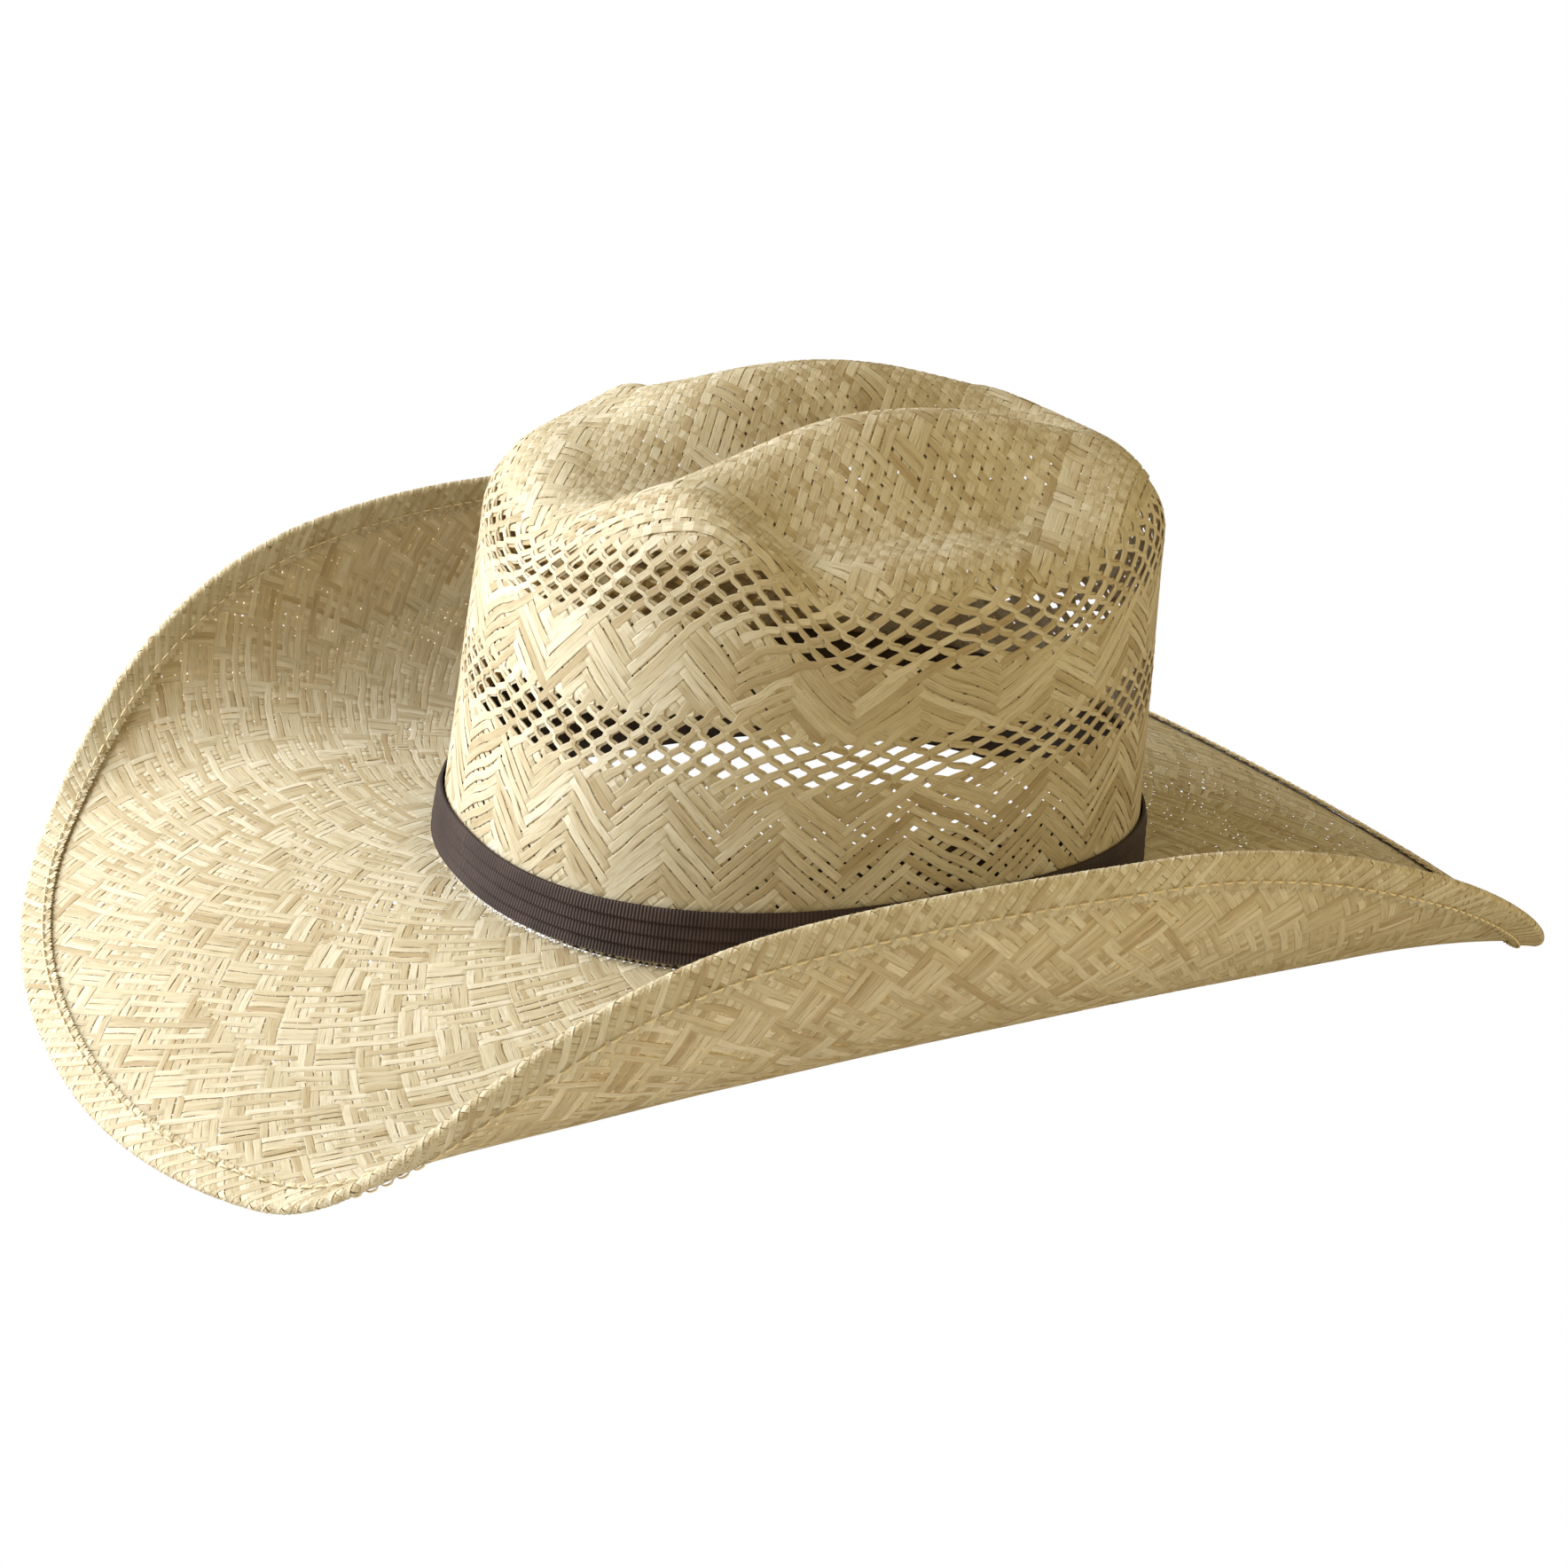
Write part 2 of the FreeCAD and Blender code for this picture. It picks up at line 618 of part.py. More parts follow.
def sweatband():
    foot = size.sweat_foot
    knee = foot + size.tape_height + size.lay_gap
    top = foot + size.sweat_height
    high = half_straw + size.sweat_top_gap
    near = [(foot, -sweat_depth), (knee, -sweat_depth), (top, -high)]
    far = [(height, depth - size.sweat_thickness) for height, depth in reversed(near)]
    return add_feature("sweatband", ring_solid(section(near + far), on_wall))


def sweat_stitching():
    height = size.sweat_foot + size.sweat_stitch_height
    depth = sweat_depth + size.sweat_thickness + size.lay_gap + thread_radius
    return add_feature("sweatband_stitching", tube((height, -depth), thread_radius, on_wall))


pieces = [
    woven_body(),
    edge_strip(),
    brim_wire(),
    wire_ferrule(),
    hem_stitching(),
    hatband(),
    band_keeper(),
    sweatband(),
    sweat_reed(),
    reed_tape(),
    sweat_stitching(),
]
doc.recompute()


def check_and_write():
    for item in doc.Objects:
        if "Invalid" in item.State or "Error" in item.State:
            raise RuntimeError("%s did not compute: %s" % (item.Label, item.State))
    for piece in pieces:
        if piece.Shape.isNull() or not piece.Shape.isValid() or not piece.Shape.Solids:
            raise RuntimeError("%s has no valid solid" % piece.Label)
    os.makedirs("parts", exist_ok=True)
    for piece in pieces:
        piece.Shape.exportStep("parts/%s.step" % piece.Label)
        box = piece.Shape.BoundBox
        print("%-22s %d solid %9.1f mm3  x %.1f %.1f  y %.1f %.1f  z %.1f %.1f" % (
            piece.Label, len(piece.Shape.Solids), piece.Shape.Volume,
            box.XMin, box.XMax, box.YMin, box.YMax, box.ZMin, box.ZMax))


check_and_write()
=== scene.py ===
import math

import bpy
import numpy as np
from mathutils import Matrix, Vector


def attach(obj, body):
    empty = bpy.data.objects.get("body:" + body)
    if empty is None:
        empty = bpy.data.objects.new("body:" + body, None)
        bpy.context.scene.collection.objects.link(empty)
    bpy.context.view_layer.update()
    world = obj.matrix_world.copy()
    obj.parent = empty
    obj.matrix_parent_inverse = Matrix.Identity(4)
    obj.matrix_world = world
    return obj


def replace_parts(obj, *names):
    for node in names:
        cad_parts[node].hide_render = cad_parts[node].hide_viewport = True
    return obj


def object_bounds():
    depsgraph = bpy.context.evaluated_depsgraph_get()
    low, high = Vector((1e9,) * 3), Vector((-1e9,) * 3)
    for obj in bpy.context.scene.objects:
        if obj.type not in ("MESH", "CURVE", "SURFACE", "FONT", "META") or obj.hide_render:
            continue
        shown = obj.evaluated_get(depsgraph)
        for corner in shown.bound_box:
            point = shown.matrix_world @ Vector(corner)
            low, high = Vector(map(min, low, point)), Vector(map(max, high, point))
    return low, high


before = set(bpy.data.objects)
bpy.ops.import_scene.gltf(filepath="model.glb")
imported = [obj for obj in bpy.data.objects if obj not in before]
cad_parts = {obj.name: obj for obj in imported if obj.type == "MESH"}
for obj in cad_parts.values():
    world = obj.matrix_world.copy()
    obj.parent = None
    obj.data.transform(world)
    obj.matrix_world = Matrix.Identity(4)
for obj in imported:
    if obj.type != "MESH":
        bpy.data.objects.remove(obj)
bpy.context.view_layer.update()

MM = 0.001

# Sizes of the hat in millimetres and degrees, the same as in the part's source
HEAD_HALF_LENGTH = 102.0
HEAD_HALF_WIDTH = 80.6
HEAD_SQUARENESS = 2.34
BREAK_RADIUS = 2.2
BRIM_WIDTH = 119.2
BRIM_LEFT_GAIN = 0.5
BRIM_SKEW = 1.9
ROLL_START = 95.3
ROLL_ANGLE = 98.2
ROLL_POWER = 1.18
ROLL_FRONT_GROWTH = 1.0
ROLL_FRONT_CURL = 1.066
ROLL_REAR_LOSS = 0.664
ROLL_REAR_CURL = 1.13
DIP_START = 91.8
FRONT_DIP = 30.9
REAR_DIP = 23.0
EDGE_FRONT_LIFT = 1.7
EDGE_END_LIFT = 1.1
EDGE_TWIST = -1.7
SAG_DEPTH = 7.9
SAG_LIFT = 1.3
SAG_SPREAD = 1.4
SAG_PLACE = 34.8
SAG_REACH = 25.7
CROWN_HEIGHT = 129.1
CROWN_RISE = 0.0154
CROWN_ARCH = 0.0014
CROWN_DOME = 8.1
SHOULDER_RADIUS = 24.6
FRONT_LEAN = 8.83
REAR_LEAN = 5.71
SIDE_LEAN = 5.7
CREASE_DEPTH = 26.9
CREASE_FRONT_DEPTH = 10.2
CREASE_HALF_WIDTH = 16.1
CREASE_FRONT_SPREAD = 10.0
CREASE_FRONT = 30.8
CREASE_FRONT_FADE = 60.0
CREASE_REAR = 40.4
CREASE_REAR_FADE = 45.0
DENT_DEPTH = 20.0
DENT_RIDGE = 24.0
DENT_FOOT = 60.0
DENT_HOLLOW = 5.0
DENT_HOLLOW_OFFSET = 46.0
DENT_HOLLOW_HALF_WIDTH = 14.0
DENT_PINCH = 0.2
DENT_FRONT = 50.0
RIGHT_DENT_FRONT = 20.4
DENT_FRONT_FADE = 18.0
DENT_REAR = 53.6
RIGHT_DENT_REAR = 78.6
DENT_REAR_FADE = 30.0
CREASE_LEVELS = (0.62, 1.0)
DENT_LEVELS = (0.2, 0.95)
RIGHT_DROP = 6.8
RIGHT_DROP_PLACE = 50.3
RIGHT_DROP_LENGTH = 28.0
RIGHT_DROP_START = 10.0
RIGHT_DROP_FULL = 50.0
DROP_LEVELS = (0.5, 1.0)
TIP_RADIUS = 1.5
LAY_GAP = 0.25
HALF_STRAW = 0.7
HEM_WIDTH = 10.0
FOLD_OUTER = 2.0
HEM_OFFSET = 1.2
BAND_BOTTOM = 1.9
BAND_HEIGHT = 16.0
BAND_PLEATS = 4
RIBBON_THICKNESS = 0.7
PLEAT_STEP = 0.9
SWEAT_FOOT = 0.6
SWEAT_HEIGHT = 34.0
SWEAT_THICKNESS = 1.1
SWEAT_DEPTH = 4.35
SWEAT_TOP_GAP = 1.0
TAPE_HEIGHT = 8.0

WALL_HEIGHT = CROWN_HEIGHT - SHOULDER_RADIUS
MEAN_RADIUS = math.sqrt(HEAD_HALF_LENGTH * HEAD_HALF_WIDTH)
BEND = SHOULDER_RADIUS / MEAN_RADIUS
SHOULDER_LENGTH = SHOULDER_RADIUS * math.pi / 2
TURN = 2 * math.pi
PROBE = 1e-3


# Form of the hat, for arrays of angles and distances
def smooth(start, end, x):
    t = np.clip((x - start) / (end - start), 0.0, 1.0)
    return t * t * (3 - 2 * t)


def power(x, exponent):
    return np.sign(x) * np.abs(x) ** exponent


def run_and_rise(length, slope, steps=12):
    run = 0.0
    rise = 0.0
    for i in range(steps + 1):
        weight = length / steps / 3 * (1 if i in (0, steps) else 4 if i % 2 else 2)
        angle = slope(length * i / steps)
        run = run + weight * np.cos(angle)
        rise = rise + weight * np.sin(angle)
    return run, rise


def oval(angle):
    root = 2 / HEAD_SQUARENESS
    x = HEAD_HALF_WIDTH * power(np.sin(angle), root)
    y = -HEAD_HALF_LENGTH * power(np.cos(angle), root)
    return x, y


def oval_normal(x, y):
    nx = power(x / HEAD_HALF_WIDTH, HEAD_SQUARENESS - 1) / HEAD_HALF_WIDTH
    ny = power(y / HEAD_HALF_LENGTH, HEAD_SQUARENESS - 1) / HEAD_HALF_LENGTH
    length = np.hypot(nx, ny)
    return nx / length, ny / length


def width_at(angle):
    return BRIM_WIDTH + BRIM_LEFT_GAIN * np.sin(angle) + BRIM_SKEW * np.sin(2 * angle)


def bend_brim(x, y):
    reach = HEAD_HALF_LENGTH + BRIM_WIDTH
    ratio = (y / reach) ** 2
    front = 1 + ROLL_FRONT_GROWTH * ratio + ROLL_FRONT_CURL * ratio ** 2
    rear = 1 - ROLL_REAR_LOSS * ratio + ROLL_REAR_CURL * ratio ** 2
    full_angle = math.radians(ROLL_ANGLE) * np.where(y < 0, front, rear)
    full_run = HEAD_HALF_WIDTH + BRIM_WIDTH - ROLL_START
    side = np.maximum(np.abs(x) - ROLL_START, 0.0)
    run, rise = run_and_rise(side, lambda t: full_angle * (t / full_run) ** ROLL_POWER)
    dip = np.radians(np.where(y < 0, FRONT_DIP, REAR_DIP))
    end = np.maximum(np.abs(y) - DIP_START, 0.0)
    forward, drop = run_and_rise(end, lambda t: dip * t / (reach - DIP_START))
    new_x = np.sign(x) * (np.minimum(np.abs(x), ROLL_START) + run)
    new_y = np.sign(y) * (np.minimum(np.abs(y), DIP_START) + forward)
    return new_x, new_y, rise - drop


def hand_shape(angle, share):
    lift = EDGE_FRONT_LIFT * np.cos(angle) + EDGE_END_LIFT * np.cos(2 * angle)
    lift = lift + EDGE_TWIST * np.sin(2 * angle)
    away = np.cos(angle - math.radians(SAG_PLACE)) - 1
    near = np.exp(2 * away / math.radians(SAG_REACH) ** 2)
    hollow = SAG_DEPTH * near * np.sin(math.pi * share) ** 2
    edge = share ** 2
    return SAG_SPREAD * near * edge, (lift + SAG_LIFT * near) * edge - hollow


def brim_middle(angle, out):
    x, y = oval(angle)
    nx, ny = oval_normal(x, y)
    x, y, z = bend_brim(x + nx * out, y + ny * out)
    aside, lift = hand_shape(angle, out / width_at(angle))
    return np.stack([x + aside, y, z + lift], -1)


def lean_at(angle):
    ends = np.where(np.cos(angle) > 0, FRONT_LEAN, REAR_LEAN)
    along = ends / HEAD_HALF_LENGTH * np.cos(angle) ** 2
    return along + SIDE_LEAN / HEAD_HALF_WIDTH * np.sin(angle) ** 2


def crease_and_dents(x, y, z):
    level = z / CROWN_HEIGHT
    z = z + (CROWN_RISE * y - CROWN_ARCH * y * y) * level
    forward = smooth(0, HEAD_HALF_LENGTH, -y)
    deepens = smooth(-CREASE_FRONT - CREASE_FRONT_FADE, -CREASE_FRONT, y)
    ends = 1 - smooth(CREASE_REAR, CREASE_REAR + CREASE_REAR_FADE, y)
    depth = CREASE_FRONT_DEPTH + (CREASE_DEPTH - CREASE_FRONT_DEPTH) * deepens
    half_width = CREASE_HALF_WIDTH + CREASE_FRONT_SPREAD * forward
    crease = depth * ends * np.exp(-(x / half_width) ** 2) * smooth(*CREASE_LEVELS, level)
    front = np.where(x > 0, DENT_FRONT, RIGHT_DENT_FRONT)
    rear = np.where(x > 0, DENT_REAR, RIGHT_DENT_REAR)
    dent = smooth(-front - DENT_FRONT_FADE, -front + DENT_FRONT_FADE, y)
    dent = dent * (1 - smooth(rear - DENT_REAR_FADE, rear + DENT_REAR_FADE, y))
    across = np.abs(x) / (1 - DENT_PINCH * forward)
    hollow = (across - DENT_HOLLOW_OFFSET) / DENT_HOLLOW_HALF_WIDTH
    sink = DENT_DEPTH * smooth(DENT_RIDGE, DENT_FOOT, across)
    sink = sink + DENT_HOLLOW * np.exp(-hollow ** 2)
    sink = sink * dent * smooth(*DENT_LEVELS, level)
    drop = RIGHT_DROP * np.exp(-((y + RIGHT_DROP_PLACE) / RIGHT_DROP_LENGTH) ** 2)
    drop = drop * smooth(*DROP_LEVELS, level) * smooth(RIGHT_DROP_START, RIGHT_DROP_FULL, -x)
    return x, y, z - crease - sink - drop


def crown_from_scale(angle, scale, z):
    x, y = oval(angle)
    foot = bend_brim(x, y)[2] * (1 - smooth(0, WALL_HEIGHT, z))
    x, y, z = crease_and_dents(x * scale, y * scale, z)
    return np.stack([x, y, z + foot], -1)


def crown_middle(angle, climb):
    """Middle of the straw at a distance climbed from the break, along the mean meridian."""
    lean = lean_at(angle)
    wall = np.clip(climb / WALL_HEIGHT, 0, 1)
    turn = np.clip((climb - WALL_HEIGHT) / SHOULDER_RADIUS, 0, math.pi / 2)
    reach = MEAN_RADIUS * (1 - lean - BEND) - TIP_RADIUS
    top = np.clip((climb - WALL_HEIGHT - SHOULDER_LENGTH) / reach, 0, 1)
    last = TIP_RADIUS / MEAN_RADIUS
    scale = 1 - lean * wall - BEND * (1 - np.cos(turn))
    scale = np.where(top > 0, (1 - lean - BEND) * (1 - top) + last * top, scale)
    z = WALL_HEIGHT * wall + SHOULDER_RADIUS * np.sin(turn) + CROWN_DOME * (1 - (1 - top) ** 2)
    return crown_from_scale(angle, scale, z)


def break_middle(angle, share):
    turn = share * math.pi / 2
    point = brim_middle(angle, BREAK_RADIUS * (1 - np.sin(turn)))
    rise = BREAK_RADIUS * (1 - np.cos(turn))
    inward = 1 - lean_at(angle) * rise / WALL_HEIGHT
    return point * np.stack([inward, inward, np.ones_like(inward)], -1) + np.stack(
        [np.zeros_like(rise), np.zeros_like(rise), rise], -1)


def straw_middle(angle, climb):
    """Middle of the straw: climb is positive up the crown and negative out on the brim."""
    angle, climb = np.broadcast_arrays(np.asarray(angle, float), np.asarray(climb, float))
    share = np.clip((climb + BREAK_RADIUS) / (2 * BREAK_RADIUS), 0, 1)
    brim = brim_middle(angle, np.maximum(-climb, BREAK_RADIUS))
    crown = crown_middle(angle, np.maximum(climb, BREAK_RADIUS))
    bend = break_middle(angle, share)
    on_brim = (climb < -BREAK_RADIUS)[..., None]
    on_crown = (climb > BREAK_RADIUS)[..., None]
    return np.where(on_brim, brim, np.where(on_crown, crown, bend))


def surface(middle, a, b):
    """Points of a formula sheet with their outward normals."""
    along_a = middle(a + PROBE, b) - middle(a - PROBE, b)
    along_b = middle(a, b + PROBE) - middle(a, b - PROBE)
    normal = np.cross(along_a, along_b)
    normal /= np.linalg.norm(normal, axis=-1, keepdims=True)
    return middle(a, b), normal


def edge_middle(angle, inset):
    return brim_middle(angle, width_at(angle) - inset)


def hem_middle(angle, along):
    """Middle of the folded edge: along its upper flap, round the nose and back below."""
    flap = HEM_WIDTH - FOLD_OUTER
    turn = np.clip((along - flap) / HEM_OFFSET, 0, math.pi)
    back = np.maximum(along - flap - math.pi * HEM_OFFSET, 0)
    inset = FOLD_OUTER + np.maximum(flap - along, 0) - HEM_OFFSET * np.sin(turn) + back
    point, normal = surface(edge_middle, angle, inset)
    return point - normal * (HEM_OFFSET * np.cos(turn))[..., None]


def plan_polar(x, y):
    """Angle and share of the head oval at a point of the plan."""
    kx = np.abs(x) / HEAD_HALF_WIDTH
    ky = np.abs(y) / HEAD_HALF_LENGTH
    scale = np.maximum((kx ** HEAD_SQUARENESS + ky ** HEAD_SQUARENESS) ** (1 / HEAD_SQUARENESS), 1e-6)
    sine = (kx / scale) ** (HEAD_SQUARENESS / 2)
    cosine = (ky / scale) ** (HEAD_SQUARENESS / 2)
    return np.arctan2(np.sign(x) * sine, -np.sign(y) * cosine), scale


def plan_middle(x, y):
    """Middle of the straw over a point of the plan, on the top and the shoulder."""
    angle, scale = plan_polar(x, y)
    lean = lean_at(angle)
    flat = 1 - lean - BEND
    bow = np.clip(1 - (scale - flat) / BEND, -1, 1)
    shoulder = WALL_HEIGHT + SHOULDER_RADIUS * np.sqrt(np.maximum(1 - (1 - bow) ** 2, 0))
    last = TIP_RADIUS / MEAN_RADIUS
    share = np.clip((flat - scale) / (flat - last), 0, 1)
    top = CROWN_HEIGHT + CROWN_DOME * (1 - (1 - share) ** 2)
    z = np.where(scale > flat, shoulder, top)
    x, y, z = crease_and_dents(x, y, z)
    return np.stack([x, y, z], -1)


# Meshes
def make_piece(name, points, faces, layers, material, rounded=True):
    mesh = bpy.data.meshes.new(name)
    points = np.asarray(points, np.float32).reshape(-1, 3) * MM
    faces = np.asarray(faces, np.int32).reshape(-1, 4)
    mesh.vertices.add(len(points))
    mesh.vertices.foreach_set("co", points.ravel())
    mesh.loops.add(faces.size)
    mesh.loops.foreach_set("vertex_index", faces.ravel())
    mesh.polygons.add(len(faces))
    mesh.polygons.foreach_set("loop_start", np.arange(0, faces.size, 4, dtype=np.int32))
    mesh.polygons.foreach_set("use_smooth", np.full(len(faces), rounded))
    for layer, values in layers.items():
        uv = mesh.uv_layers.new(name=layer)
        uv.data.foreach_set("uv", np.asarray(values, np.float32).ravel())
    mesh.update()
    mesh.validate()
    piece = bpy.data.objects.new(name, mesh)
    bpy.context.scene.collection.objects.link(piece)
    piece.data.materials.append(material)
    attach(piece, "root")
    return piece


def strip_faces(rows, ring, closed=True):
    """Faces of a run of rings, as index arrays into rows x ring points."""
    r = np.arange(rows - 1)[:, None]
    k = np.arange(ring if closed else ring - 1)[None, :]
    nxt = (k + 1) % ring
    a = r * ring + k
    b = r * ring + nxt
    return np.stack([a, b, b + ring, a + ring], -1).reshape(-1, 4)


class Strands:
    """Collects flat straw strands into one mesh with its own coordinates."""

    def __init__(self, name):
        self.name = name
        self.points = []
        self.faces = []
        self.strand = []
        self.count = 0
        self.rows = 0

    def add(self, centre, normal, half_width, half_thick, key):
        """One strand: its line of centres, surface normals and half sizes along it."""
        ahead = np.gradient(centre, axis=0)
        side = np.cross(normal, ahead)
        side /= np.linalg.norm(side, axis=1, keepdims=True) + 1e-12
        flat = np.array([-1.0, -0.84, 0.84, 1.0, 0.84, -0.84])
        high = np.array([0.0, 1.0, 1.0, 0.0, -1.0, -1.0])
        across = side[:, None, :] * (flat[None, :] * half_width[:, None])[..., None]
        over = normal[:, None, :] * (high[None, :] * half_thick[:, None])[..., None]
        ring = centre[:, None, :] + across + over
        rows = len(centre)
        self.faces.append(strip_faces(rows, 6) + self.count)
        self.points.append(ring.reshape(-1, 3))
        length = np.concatenate([[0], np.cumsum(np.linalg.norm(np.diff(centre, axis=0), axis=1))])
        low = np.repeat(length[:-1], 6)
        top = np.repeat(length[1:], 6)
        edge = np.tile(np.arange(6), rows - 1) / 6.0
        lane = key + 0.08 + edge * 0.84
        lane_end = lane + 0.84 / 6
        self.strand.append(np.stack([low, lane, low, lane_end, top, lane_end, top, lane], -1).reshape(-1, 2))
        self.count += rows * 6
        self.rows = max(self.rows, key + 1)

    def build(self, material, slot):
        strand = np.concatenate(self.strand)
        longest = strand[:, 0].max()
        bake = strand / [longest, self.rows]
        mixed = strand * [0.01, 1.0]
        return make_piece(
            self.name,
            np.concatenate(self.points),
            np.concatenate(self.faces),
            {"OFBake": bake, "Strand": mixed},
            material,
            rounded=False,
        )


# Weave
PLAIN, COLUMNS, BLOCKS, VENTS = 0, 1, 2, 3


def zone_rows(zones):
    """Kind of each crossing row and its place in the zone, from (kind, rows) zones."""
    kinds = np.concatenate([[kind] * rows for kind, rows in zones])
    places = np.concatenate([(np.arange(rows) + 0.5) / rows for kind, rows in zones])
    zone = np.concatenate([[i] * rows for i, (kind, rows) in enumerate(zones)])
    return kinds, places, zone


def on_top(i, row, kinds, zone, group):
    """Whether the rising strand i lies on top at a crossing row, for each pattern."""
    plain = (i % 2) == 0
    middle = 2 * i + row
    columns = ((middle // 2 + zone[row] * (group // 2)) // group) % 2 == 0
    blocks = (i // group + (i + row) // group) % 2 == 0
    return np.where(kinds[row] == COLUMNS, columns, np.where(kinds[row] == BLOCKS, blocks, plain))


class Look:
    """Sizes of one kind of strand."""

    def __init__(self, width, thick, lift, step, slack=1.0, dive=0.0, tuck=0.0):
        self.width = width
        self.thick = thick
        self.lift = lift
        self.step = step
        self.slack = slack
        self.dive = dive
        self.tuck = tuck


def ring_weave(name, middle, number, start, zones, look, material, parts, group, seed):
    """Two families of slanting strands round the hat, over rows of a sheet."""
    kinds, places, zone = zone_rows(zones)
    rows = len(kinds)
    half = np.arange(2 * rows - 1) / 2
    low = np.floor(half).astype(int)
    high = np.ceil(half).astype(int)
    level = start + half * look.step
    vent = np.where(kinds == VENTS, np.sin(math.pi * places) ** VENT_EDGE, 0.0)
    vent_half = (vent[low] + vent[high]) / 2
    rng = np.random.default_rng(seed)
    pieces = [Strands("%s_%d" % (name, i + 1)) for i in range(parts)]
    row = np.arange(rows)
    for family in (1, -1):
        wobble = rng.normal(0, STRAND_WOBBLE, (number, 3))
        for i in range(number):
            over = on_top(i if family == 1 else i - row, row, kinds, zone, group)
            lift = np.where(over, 1.0, -1.0) * family
            lift_half = (lift[low] + lift[high]) / 2
            pair = 1 - 2 * (i % 2)
            net = family * NET_SWING * np.sin(math.pi * half) * vent_half
            if family == 1:
                aside = BAND_PAIRING * vent_half * pair - net
                width = look.width * (1 - BAND_NARROWING * vent_half)
                stack = vent_half * pair * 0.08
                thick = look.thick * np.ones_like(half)
            else:
                aside = (0.4 + 0.14 * np.cos(math.pi * half)) * vent_half * pair - net
                width = look.width * (1 - CURL_NARROWING * vent_half)
                stack = vent_half * (0.2 * np.cos(math.pi * half) + 0.14 * pair)
                thick = look.thick * (1 + CURL_THICKENING * vent_half)
            wave = wobble[i, 0] * np.sin(half * 0.9 + i) + wobble[i, 1]
            angle = (i + family * half / 2 + aside + wave) * TURN / number
            point, normal = surface(middle, angle, level)
            height = look.lift * lift_half + stack - look.dive * np.clip(half - rows + 5, 0, 4) / 4
            height = height - look.tuck * np.clip(2 - half, 0, 2) / 2
            width = width * np.where(kinds[low] == COLUMNS, look.slack, 1.0)
            width = width * (1 + 0.5 * wobble[i, 2]) * (1 + 0.04 * np.sin(half * 1.3 + 2 * i))
            part = pieces[i * parts // number]
            part.add(point + normal * height[:, None], normal, width / 2, thick, part.rows)
    return [piece.build(material, "straw") for piece in pieces]


CROWN_LOOK = Look(width=2.72, thick=0.1, lift=0.17, step=1.98, slack=0.86, dive=0.5)
BRIM_LOOK = Look(width=1.98, thick=0.08, lift=0.15, step=1.42)
HEM_LOOK = Look(width=1.75, thick=0.08, lift=0.13, step=1.2, tuck=0.45)
NET_SWING = 0.15
VENT_EDGE = 0.35
STRAND_WOBBLE = 0.07
BAND_PAIRING = 0.37
BAND_NARROWING = 0.33
CURL_NARROWING = 0.6
CURL_THICKENING = 1.6
TOP_STRAND_SHARE = 0.98
PLAIN_ROWS = 6
BLOCK_ROWS = 8
CROWN_STRANDS = 144
CROWN_START = 1.0
PLAN_STEP = 2.65
SHOULDER_SEAM = 0.62


def crown_wall(material):
    zones = [
        (PLAIN, 10),
        (COLUMNS, 16),
        (PLAIN, 1),
        (VENTS, 10),
        (PLAIN, 1),
        (COLUMNS, 10),
        (PLAIN, 1),
        (VENTS, 11),
        (PLAIN, 2),
    ]
    return ring_weave("crown_wall", straw_middle, CROWN_STRANDS, CROWN_START, zones, CROWN_LOOK,
                      material, 2, 4, 3)


def top_pattern(i, j):
    """Plain weave with larger figures of floats near the middle and the edge."""
    ring = np.maximum(np.abs(i), np.abs(j)) % 13
    figures = (i // 3 + j // 3) % 2 == 0
    return np.where(ring > 9, figures, (i + j) % 2 == 0)


def crown_top(material):
    """Square weave of the crown top, on lines at 45 degrees to the middle line."""
    piece = Strands("crown_top")
    rng = np.random.default_rng(11)
    reach = int(HEAD_HALF_LENGTH / PLAN_STEP) + 1
    root = math.sqrt(0.5)
    for family in (1, -1):
        for i in range(-reach, reach + 1):
            j = np.arange(-2 * reach, 2 * reach + 1) / 2
            near = i + 0.05 * rng.normal() * np.ones_like(j)
            u, v = (near, j) if family == 1 else (j, near)
            x = (u + v) * root * PLAN_STEP
            y = (v - u) * root * PLAN_STEP
            angle, scale = plan_polar(x, y)
            inside = scale < 1 - lean_at(angle) - BEND * (1 - math.cos(SHOULDER_SEAM))
            if inside.sum() < 4:
                continue
            low = np.floor(j).astype(int)
            high = np.ceil(j).astype(int)
            crossings = [top_pattern(i, k) if family == 1 else top_pattern(k, i) for k in (low, high)]
            lift = sum(np.where(over, 1.0, -1.0) * family for over in crossings) / 2
            first = np.argmax(inside)
            last = len(j) - 1 - np.argmax(inside[::-1])
            place = np.arange(len(j))
            ends = np.clip(4 - np.minimum(place - first, last - place), 0, 4) / 4
            point, normal = surface(plan_middle, x, y)
            centre = point + normal * (CROWN_LOOK.lift * lift + 0.25 - 0.45 * ends)[:, None]
            width = PLAN_STEP * TOP_STRAND_SHARE * (1 + 0.05 * rng.normal()) * np.ones_like(j)
            thick = np.full_like(j, CROWN_LOOK.thick)
            piece.add(centre[inside], normal[inside], width[inside] / 2, thick[inside], piece.rows)
    return [piece.build(material, "straw")]


def brim_ring(name, near, far, material, parts, seed):
    mean = MEAN_RADIUS + (near + far) / 2
    number = int(TURN * mean / (2 * BRIM_LOOK.step)) // 10 * 10
    left = int((far - near) / BRIM_LOOK.step) + 2
    zones = []
    kind = PLAIN
    while left > 0:
        take = min(left, PLAIN_ROWS if kind == PLAIN else BLOCK_ROWS)
        zones.append((kind, take))
        left -= take
        kind = BLOCKS if kind == PLAIN else PLAIN
    return ring_weave(name, straw_middle, number, -far, zones, BRIM_LOOK, material, parts, 5, seed)


